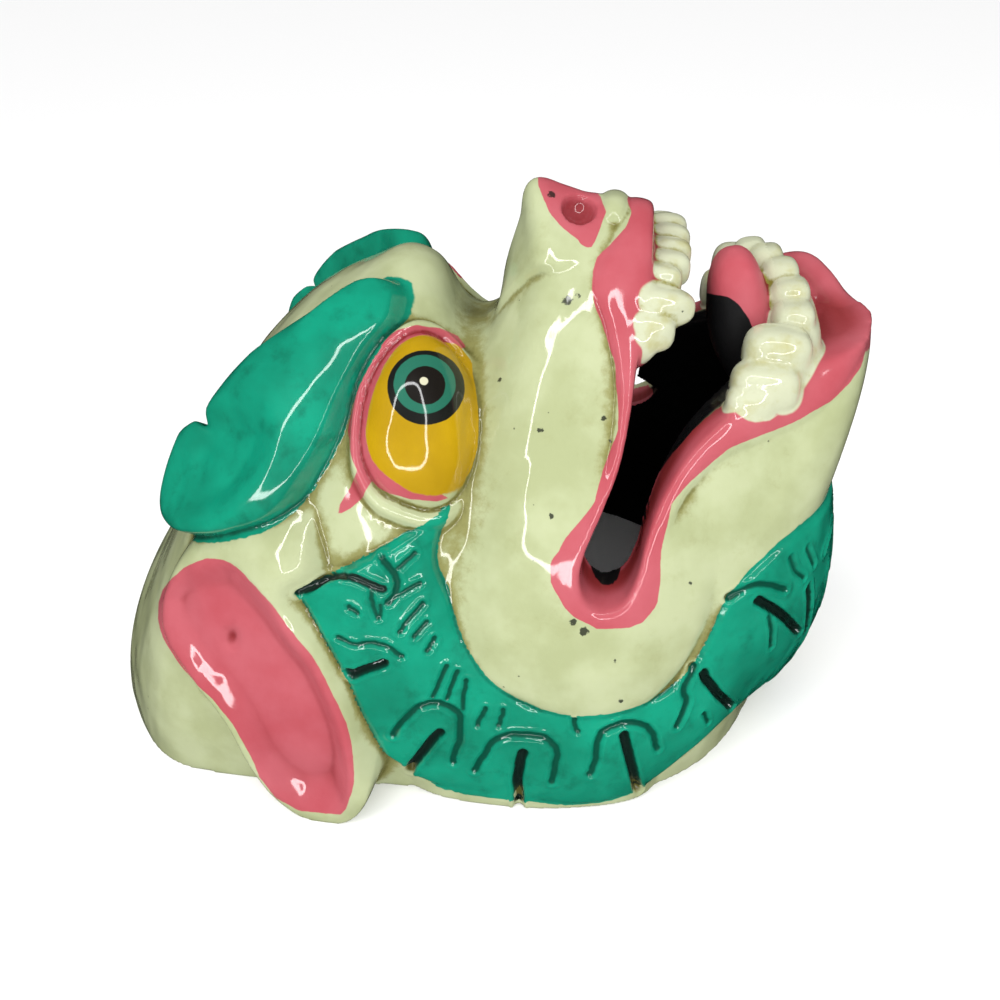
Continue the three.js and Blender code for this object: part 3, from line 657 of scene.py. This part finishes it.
mesh = mask.data
P = read(mesh)
normals = np.empty(len(P) * 3, np.float32)
mesh.attributes["fine_normal"].data.foreach_get("vector", normals)
normals = normals.reshape(-1, 3)
mesh.attributes.remove(mesh.attributes["fine_normal"])
N = normals / np.maximum(np.linalg.norm(normals, axis=1, keepdims=True), 1e-9)

# Where each paint goes, as distances in millimetres inside its outline, kept at the vertices.
# The green of brows and mane and the pink of the ears were worked out with their relief: each
# place reads them from the nearest point of that relief.
FAR_OFF = -9.0
station, angle, share = place_on_head(P)
side = np.abs(angle)
share = np.where((P[:, 1] < -88) & (P[:, 2] < 70), 1, share)
deep = (1 - share) * 75
outside = share > 0.97
painted = np.flatnonzero(np.maximum(green_paint, bowl_paint).ravel() > -4)
relief = finder(raised.reshape(-1, 3)[painted])
green, ear_pink = np.full(len(P), FAR_OFF), np.full(len(P), FAR_OFF)
reach = np.where(P[:, 2] < 7, 1.2, 3.5)
for i in np.flatnonzero(share > 0.93):
    _, k, away = relief.find(P[i])
    if away < reach[i]:
        green[i], ear_pink[i] = green_paint.flat[painted[k]], bowl_paint.flat[painted[k]]
keep("green", green)

# The eyes are ochre, in their own outline.
EYE_PAINT = [[4.5, 20.8], [8.4, 19.1], [13, 20.5], [18, 23], [22.1, 26.5], [24.5, 31.2], [26.2, 35.8],
    [26.2, 39], [24.5, 41.8], [20.9, 43.8], [15.4, 44.9], [9.8, 44], [5.1, 42.4], [1.6, 39], [0.3, 36],
    [0.5, 32.7], [2, 26.9], [3.7, 22.7]]
keep("eye", np.where(outside, inside_of(EYE_PAINT, station, side), FAR_OFF))
# The iris is painted as rings, as seen along the way the eye looks.
off = np.stack([-np.abs(P[:, 0]), P[:, 1], P[:, 2]], 1) - [-42.4, 12.3, 114.7]
looks = np.array([-0.8524, -0.2035, 0.4816])
level = np.cross([0, 0, 1], looks) / np.linalg.norm(looks[:2])
keep("iris_across", -(off @ level))
keep("iris_up", off @ np.cross(looks, level))

# The rose paint of lids, nose, lips, tongue and ears. What faces away from the front right
# follows outlines along and round the head.
LID_PAINT = [[6.4, 17.3], [11.4, 14.6], [17, 16.8], [23.7, 20], [26.7, 23.8], [28.7, 28.5],
    [31.1, 34.6], [31.8, 36.9], [30.1, 40.8], [29.5, 44], [34.2, 47.4], [34.4, 48.8], [32.3, 48.7],
    [27.8, 46.9], [24.8, 45], [19, 46.6], [12.9, 46.1], [8, 44.2], [9, 38], [7, 30], [8, 22]]
NOSE_PAINT = [[-10.5, 0], [-11.9, 7.4], [-14.1, 11.6], [-16.8, 13.6], [-21.3, 16.6], [-25.2, 16.5],
    [-25.8, 13], [-24.9, 7.7], [-25.3, 0], [-24, -6], [-12, -6]]
LIP_PAINT = [[-32, 2.6], [-32.9, 9.8], [-30.5, 13.7], [-26.7, 16.6], [-25.3, 19.6], [-25.7, 22.5],
    [-26.5, 25.2], [-29.5, 28.7], [-31.9, 31.8], [-33.4, 35.2], [-33.9, 38.3], [-33.3, 41.2],
    [-31.5, 47.4], [-29.5, 50.3], [-25.1, 52.5], [-21.6, 54.6], [-21.2, 57.2], [-23.8, 59.2],
    [-29.8, 60.5], [-36.7, 61.1], [-45.1, 60.3], [-49.4, 59.3], [-50, 56.9], [-49.1, 53.5],
    [-49.5, 49.7], [-50.6, 46.5], [-56.1, 42.7], [-65.6, 38.9], [-75.1, 34.7], [-84, 32.2],
    [-89.1, 27.3], [-92.3, 23.1], [-96, 12], [-97.5, 0], [-97.5, -12], [-64, -16], [-32, -12]]
# What faces the front right is painted as it is seen from there, with outlines in places across
# and down the view. The far side of the face mirrors it.
VIEW, LOOKED_AT = np.array([-209.8, -27.6, 209.5]), np.array([0, 0, 50])
ahead = (LOOKED_AT - VIEW) / np.linalg.norm(LOOKED_AT - VIEW)
rightward = np.cross(ahead, [0, 0, 1]) / np.linalg.norm(np.cross(ahead, [0, 0, 1]))
mirrored = np.stack([-np.abs(P[:, 0]), P[:, 1], P[:, 2]], 1)
turned = np.stack([-np.abs(N[:, 0]) * np.sign(P[:, 0] * N[:, 0]), N[:, 1], N[:, 2]], 1)
ray = mirrored - VIEW
far = ray @ ahead
view_across = 500 + 800 * (ray @ rightward) / far
view_down = 500 - 800 * (ray @ np.cross(rightward, ahead)) / far
facing = np.clip(-np.sum(turned * ray, 1) / np.linalg.norm(ray, axis=1) * 10, 0, 1)
EAR_SEEN = [[208, 558], [225, 560], [239, 569], [272, 604], [289, 628], [313, 657], [325, 678],
    [346, 722], [351, 741], [354, 762], [354, 782], [351, 795], [346, 809], [341, 815], [300, 811],
    [277, 799], [260, 778], [254, 763], [232, 723], [213, 700], [199, 687], [178, 662], [168, 647],
    [163, 638], [158, 620], [159, 601], [162, 591], [167, 583], [181, 570], [190, 564]]
LIPS_SEEN = [[634, 190], [655, 205], [668, 240], [668, 262], [660, 285], [654, 300], [654, 350],
    [652, 385], [642, 400], [637, 425], [624, 486], [616, 510], [604, 535], [596, 548], [591, 560],
    [591, 572], [596, 580], [604, 586], [614, 586], [620, 576], [622, 556], [628, 534], [635, 520],
    [643, 500], [652, 483], [669, 458], [692, 431], [704, 420], [732, 398], [745, 388], [780, 375],
    [800, 340], [790, 290], [770, 262], [789, 245], [820, 245], [840, 268], [872, 300], [880, 328],
    [876, 342], [865, 352], [863, 361], [859, 370], [850, 383], [830, 402], [793, 423], [729, 448],
    [689, 483], [672, 503], [668, 521], [661, 552], [660, 583], [658, 600], [654, 610], [642, 623],
    [630, 628], [597, 629], [574, 617], [565, 608], [551, 584], [550, 566], [551, 561], [559, 551],
    [564, 540], [594, 504], [602, 473], [618, 430], [618, 405], [615, 365], [608, 342], [601, 320],
    [595, 307], [592, 292], [593, 270], [597, 257], [609, 246], [626, 227], [632, 212], [627, 199]]
TONGUE_SEEN = [[716, 240], [735, 238], [748, 246], [766, 262], [776, 280], [784, 300], [784, 318],
    [774, 330], [759, 334], [753, 329], [750, 321], [743, 310], [737, 303], [728, 297], [718, 295],
    [700, 292], [700, 255]]
NOSE_SEEN = [[538, 165], [560, 165], [600, 196], [606, 212], [599, 232], [596, 240], [591, 248],
    [583, 247], [577, 238], [570, 234], [563, 228], [550, 214], [544, 200], [538, 184]]
LID_SEEN = [[372, 481], [365, 492], [363, 497], [350, 510], [342, 512], [338, 515], [335, 512],
    [350, 488], [357, 471], [352, 458], [350, 450], [348, 430], [352, 409], [357, 390], [362, 374],
    [374, 354], [386, 337], [398, 330], [416, 325], [440, 328], [458, 336], [466, 347], [440, 356],
    [405, 362], [388, 380], [378, 405], [374, 440], [384, 462], [404, 478], [430, 486], [448, 498],
    [436, 502], [410, 499], [390, 494], [378, 487]]
pink = np.maximum.reduce([inside_of(outline, station, side)
                          for outline in (LIP_PAINT, LID_PAINT, NOSE_PAINT)])
pink += 3 * np.clip((-55 - P[:, 1]) / 5, 0, 1) * (P[:, 2] > 85)
chin_front = np.clip((-80 - P[:, 1]) / 5, 0, 1) * (P[:, 2] > 80)
rim_band = 8.6 - near(P, line(LOWER_RIM)(np.linspace(0, 1, 400)), 18)
pink = pink * (1 - chin_front) + np.clip(rim_band, -9, 3) * chin_front
pink = np.maximum(pink, ear_pink - 2.5)
pink = np.where(outside, pink, np.where((share > 0.9) & (P[:, 1] < -20), 2, FAR_OFF))
STEPS = 3.3  # steps of the view to a millimetre
seen_pink = np.maximum.reduce([inside_of(outline, view_across, view_down, 1, False) / STEPS
                               for outline in (LIPS_SEEN, LID_SEEN, NOSE_SEEN, TONGUE_SEEN, EAR_SEEN)])
hidden_wall = (share < 0.97) & ((P[:, 1] > -20) | (P[:, 2] < 55))
keep("pink", np.where(hidden_wall, FAR_OFF, pink * (1 - facing) + seen_pink * facing))

# The teeth are ivory, by their own shapes. Behind them the mouth is black, also round the
# tongue, and matt there.
tooth = near(P, line(RIDGE)(np.linspace(0.01, 0.99, 300)), 9) - 5.4
for row in TEETH:
    q = (P - row[:3]) / row[3:6]
    q[:, [0, 2]] /= 1 + row[6] * np.clip(q[:, 1:2], -1, 1)
    tooth = np.minimum(tooth, (np.sum(np.abs(q) ** (2 / SQUARED), 1) ** (SQUARED / 2) - 1) * 6)
keep("tooth", tooth)
tongue_core = np.insert(tongue_path(np.linspace(0.02, 0.97, 120)), 0, 0, axis=1)
in_mouth = (near(P * [0, 1, 1], tongue_core, 20) < 10.5) & (np.abs(P[:, 0]) < 19)
keep("deep", np.where(in_mouth & (P[:, 1] > -80), 9, deep))

# The mesh goes to metres, about the middle of its length.
P[:, 1] -= MIDDLE
mesh.vertices.foreach_set("co", (P / 1000).astype(np.float32).ravel())
mesh.update()
mesh.polygons.foreach_set("use_smooth", np.ones(len(mesh.polygons), bool))
# The varnish isn't quite flat: the normals wander by a few slow seeded waves.
waves = np.random.default_rng(5)
for length in np.linspace(5, 16, 14):
    along = waves.normal(size=3)
    along /= np.linalg.norm(along)
    N += 0.016 * along * np.cos(P @ along * 2 * np.pi / length + waves.uniform(0, 6.3))[:, None]
N /= np.linalg.norm(N, axis=1, keepdims=True)
mesh.normals_split_custom_set_from_vertices(N.tolist())
mask.vertex_groups.clear()

# The finish: brushed oil paint under thick gloss varnish, worn, and dirty in the hollows of the cream and
# the teeth. The pink and the green carry painted shade in their hollows and inside the mouth. Each colour
# lies over the one before it, from the cream ground to the teeth and the chips.
paint = bpy.data.materials.new("painted_wood")
paint.use_nodes = True
tree = paint.node_tree
tree.nodes.clear()


def node(kind, inputs=None, **settings):
    """A shader node with its settings and its inputs, and its first live output."""
    made = tree.nodes.new("ShaderNode" + kind)
    for name, value in settings.items():
        setattr(made, name, value)
    for slot, value in (inputs or {}).items():
        if isinstance(value, bpy.types.NodeSocket):
            tree.links.new(value, made.inputs[slot])
        else:
            made.inputs[slot].default_value = value
    return next(out for out in made.outputs if out.enabled)


def attribute(name):
    """A stored value of the mask, read in the shader."""
    made = tree.nodes.new("ShaderNodeAttribute")
    made.attribute_name = name
    return made.outputs["Fac"]


def maths(operation, first, second=0.0, third=0.0):
    """One sum of up to three values."""
    return node("Math", {0: first, 1: second, 2: third}, operation=operation)


def rise_between(value, low, high):
    """0 below low and 1 above high, eased between."""
    return node("MapRange", {"Value": value, "From Min": low, "From Max": high},
                interpolation_type="SMOOTHSTEP")


def fleck(scale, detail=3.0, roughness=0.55):
    """Cloudy noise from 0 to 1, about 1/scale metres across."""
    return node("TexNoise", {"Vector": place, "Scale": scale, "Detail": detail,
                             "Roughness": roughness})


def blend(share, under, over):
    """A colour under another, mixed by the share of the one on top."""
    return node("Mix", {"Factor": share, 6: under, 7: over}, data_type="RGBA")


def colour(red, green, blue):
    """A colour as seen in this room, on the 0 to 255 scale, made linear."""
    c = np.array([red, green, blue]) / 255
    return (*np.where(c < 0.04045, c / 12.92, ((c + 0.055) / 1.055) ** 2.4) * 0.66, 1.0)


place = tree.nodes.new("ShaderNodeTexCoord").outputs["Object"]
wobble = maths("MULTIPLY", maths("SUBTRACT", fleck(260.0), 0.5), 1.6)
broad = fleck(45.0, 4.0)
fine = fleck(900.0, 4.0, 0.65)


def inside(name, low=-0.15, high=0.15, wave=0.45):
    """1 inside an outline and 0 outside, with the small waver of a brush."""
    return rise_between(maths("MULTIPLY_ADD", wobble, wave, attribute(name)), low, high)


hollows, valleys = attribute("crease"), attribute("valley")
tint = blend(rise_between(broad, 0.35, 0.65), colour(182, 190, 142), colour(200, 208, 164))
smudge = maths("MULTIPLY", rise_between(fleck(70.0, 6.0, 0.7), 0.55, 0.75), 0.35)
tint = blend(smudge, tint, colour(160, 165, 110))
patchy = maths("SUBTRACT", fleck(260.0, 6.0, 0.7), 0.5)
dirt = rise_between(maths("MULTIPLY_ADD", patchy, 0.9, valleys), 0.06, 0.5)
tint = blend(maths("MULTIPLY", dirt, 0.85), tint, colour(146, 142, 76))
grainy = maths("SUBTRACT", fine, 0.5)
dirt = rise_between(maths("MULTIPLY_ADD", grainy, 0.25, hollows), 0.05, 0.3)
tint = blend(maths("MULTIPLY", dirt, 0.9), tint, colour(108, 104, 48))
cells = tree.nodes.new("ShaderNodeTexVoronoi")
cells.inputs["Scale"].default_value = 170
tree.links.new(place, cells.inputs["Vector"])
chosen = rise_between(node("SeparateColor", {"Color": cells.outputs["Color"]}), 0.80, 0.82)
dots = rise_between(maths("MULTIPLY_ADD", fine, 0.03, cells.outputs["Distance"]), 0.075, 0.055)
specks = maths("MULTIPLY", chosen, dots)
tint = blend(maths("MULTIPLY", specks, 0.7), tint, colour(70, 70, 50))
# Chips and black specks where the paint is knocked off, as places and radii in millimetres.
CHIPS = [[-23.9, -22.3, 131.9, 0.8], [-24.6, -19.9, 130.8, 1.3], [-66.8, -27.3, 64.3, 0.8],
    [-67.5, -30.2, 62.1, 1.1], [-55.4, -19.9, 88.4, 0.5], [-70.1, -41.2, 40.3, 0.6],
    [-60.7, -16.7, 78.4, 0.4], [-43.5, -33, 103.7, 0.4], [-41, -30.8, 108.6, 0.5],
    [-63.2, 43.2, 75, 0.5], [-68.5, -38.7, 53.8, 0.4], [-56, -55.8, 71.1, 0.4],
    [-31.8, -4.2, 112.1, 0.5], [-43.3, -15.6, 105.3, 0.5], [-5, -13.5, 150, 1.0],
    [-70.3, 61.3, 78.8, 1.2], [-80.9, 67.8, 35.2, 0.8], [-26.2, -47.5, 130.4, 0.6]]
nearest = None
for x, y, z, radius in CHIPS:
    chip = (x / 1000, (y - MIDDLE) / 1000, z / 1000)
    away = node("VectorMath", {0: place, 1: chip}, operation="DISTANCE")
    away = maths("SUBTRACT", away, radius / 1000)
    nearest = away if nearest is None else maths("MINIMUM", nearest, away)
ragged = maths("MULTIPLY_ADD", grainy, 0.0022, nearest)
chips = rise_between(ragged, 0.00025, -0.0001)
rose = blend(rise_between(broad, 0.3, 0.7), colour(194, 84, 94), colour(205, 102, 112))
depth = attribute("deep")
# Painted shade on the pink: it darkens further inside the mouth, in its creases and in broad hollows such
# as the ear's bowl.
inner = maths("MULTIPLY", rise_between(depth, 0.5, 5.0), rise_between(depth, 8.8, 8.0))
rose = blend(inner, rose, colour(160, 56, 58))
rose = blend(rise_between(hollows, 0.06, 0.35), rose, colour(140, 34, 40))
rose = blend(maths("MULTIPLY", rise_between(valleys, 0.1, 0.9), 0.5), rose, colour(160, 58, 62))
tint = blend(rise_between(depth, 3.0, 5.0), tint, colour(24, 24, 25))
tint = blend(inside("pink"), tint, rose)
emerald = blend(rise_between(broad, 0.3, 0.7), colour(0, 134, 104), colour(4, 162, 128))
darker = maths("MULTIPLY", rise_between(fleck(160.0, 5.0, 0.6), 0.5, 0.75), 0.5)
emerald = blend(darker, emerald, colour(0, 98, 74))
# Painted shade on the green: darker in its creases, darker still in the carved grooves, and near black in
# the slots and the curl.
emerald = blend(rise_between(hollows, 0.05, 0.35), emerald, colour(6, 88, 66))
emerald = blend(rise_between(attribute("carved"), 0.2, 0.8), emerald, colour(0, 84, 64))
emerald = blend(rise_between(attribute("deep_cut_shade"), 0.1, 0.5), emerald, colour(26, 50, 42))
tint = blend(inside("green"), tint, emerald)
ochre = blend(rise_between(broad, 0.3, 0.7), colour(184, 146, 0), colour(204, 164, 0))
tint = blend(inside("eye"), tint, ochre)


def ring_of(across, up, radius):
    """1 within a circle about a place on the iris, with a thin soft edge."""
    x = maths("SUBTRACT", attribute("iris_across"), across)
    y = maths("MULTIPLY", maths("SUBTRACT", attribute("iris_up"), up), 1.06)
    away = maths("SQRT", maths("ADD", maths("MULTIPLY", x, x), maths("MULTIPLY", y, y)))
    return rise_between(maths("MULTIPLY_ADD", wobble, 0.3, away), radius + 0.12, radius - 0.12)


tint = blend(ring_of(0, 0, 9.5), tint, colour(28, 30, 27))
tint = blend(ring_of(0.4, 0.8, 7.5), tint, colour(40, 118, 95))
tint = blend(ring_of(0.3, 0.5, 4.9), tint, colour(30, 26, 22))
tint = blend(ring_of(0.6, 1.5, 1.05), tint, colour(225, 222, 190))
ivory = blend(rise_between(fleck(160.0, 4.0), 0.45, 0.75), colour(212, 216, 184),
              colour(196, 194, 142))
dirt = rise_between(maths("MULTIPLY_ADD", grainy, 0.3, hollows), 0.02, 0.3)
ivory = blend(dirt, ivory, colour(152, 146, 66))
tint = blend(rise_between(attribute("tooth"), 0.9, 0.4), tint, ivory)
tint = blend(maths("MULTIPLY", chips, 0.9), tint, colour(34, 38, 32))
gloss = rise_between(depth, 8.5, 7.0)
uneven = node("Bump", {"Strength": 0.25, "Distance": 0.001, "Height": fleck(110.0, 2.0, 0.5)})
brushed = node("Bump", {"Strength": 0.15, "Distance": 0.0004, "Height": fine, "Normal": uneven})
shader = tree.nodes.new("ShaderNodeBsdfPrincipled")
for slot, value in (("Base Color", tint), ("Normal", brushed), ("Coat Weight", gloss)):
    tree.links.new(value, shader.inputs[slot])
shader.inputs["Roughness"].default_value = 0.45
shader.inputs["Specular IOR Level"].default_value = 0.12
shader.inputs["Coat Roughness"].default_value = 0.06
output = tree.nodes.new("ShaderNodeOutputMaterial")
tree.links.new(shader.outputs[0], output.inputs["Surface"])
mesh.materials.clear()
mesh.materials.append(paint)
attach(mask, "root")
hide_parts("carved_mask")

# The table: a plain white sheet that the mask lies on. It isn't part of the object.
sheet = bpy.data.meshes.new("table_top")
sheet.from_pydata([(-6, -6, 0), (6, -6, 0), (6, 6, 0), (-6, 6, 0)], [], [(0, 1, 2, 3)])
floor = bpy.data.objects.new("table_top", sheet)
bpy.context.scene.collection.objects.link(floor)
white = bpy.data.materials.new("white_sheet")
white.use_nodes = True
inputs = white.node_tree.nodes["Principled BSDF"].inputs
inputs["Base Color"].default_value, inputs["Roughness"].default_value = (0.9, 0.9, 0.9, 1), 0.6
sheet.materials.append(white)
floor.visible_glossy = False

# The light: a ring of small panels round the camera, which the varnish mirrors as thin loops,
# a soft fill, a window and a white room. Only the ring shows in the gloss.
AIM = Vector((0, -0.01185, 0.05))


def stand_at(name, thing, at, turned):
    """A lamp or camera in its place, turned as given."""
    held = bpy.data.objects.new(name, thing)
    held.location, held.rotation_euler = at, turned.to_euler()
    bpy.context.scene.collection.objects.link(held)
    return held


def flat_light(name, size, power):
    """A soft flat light, as wide and high as its size, in metres and watts."""
    light = bpy.data.lights.new(name, "AREA")
    light.shape, light.energy, light.size, light.size_y = "RECTANGLE", power, *size
    return light


CENTRE, RING, PANELS = Vector((-0.2098, -0.03945, 0.2195)), 0.135, 20
aimed = (AIM - CENTRE).to_track_quat("-Z", "Y")
for panel in range(PANELS):
    turn = 2 * np.pi * panel / PANELS
    at = CENTRE + aimed @ Vector((RING * np.cos(turn), RING * np.sin(turn), 0))
    name = f"ring_panel_{panel + 1:02d}"
    panel_light = flat_light(name, (0.015, 0.0435), 0.03)
    stand_at(name, panel_light, at, aimed @ Quaternion((0, 0, 1), turn))
at = Vector((-0.6, -0.25, 0.38))
fill = flat_light("soft_fill", (0.5, 0.5), 0.8)
fill = stand_at("soft_fill", fill, at, (AIM - at).to_track_quat("-Z", "Y"))
fill.visible_glossy = False
sun = bpy.data.lights.new("window", "SUN")
sun.energy, sun.angle = 0.9, 0.8
downward = Vector((0.25, -0.75, -1.0)).to_track_quat("-Z", "Y")
window = stand_at("window", sun, (0, 0, 0), downward)
window.visible_glossy = False
sky = bpy.data.worlds.new("white_room")
sky.use_nodes = True
inputs = sky.node_tree.nodes["Background"].inputs
inputs["Color"].default_value, inputs["Strength"].default_value = (1, 1, 1, 1), 1.04
sky.cycles_visibility.glossy = False
bpy.context.scene.world = sky

# The camera: close, from the front right and above, as the photograph was taken.
camera_data = bpy.data.cameras.new("camera")
camera_data.lens, camera_data.sensor_width, camera_data.clip_start = 28.8, 36.0, 0.01
at = Vector((-0.2098, -0.03945, 0.2095))
camera = stand_at("camera", camera_data, at, (AIM - at).to_track_quat("-Z", "Y"))
bpy.context.scene.camera = camera
bpy.context.scene.view_settings.view_transform = "Standard"
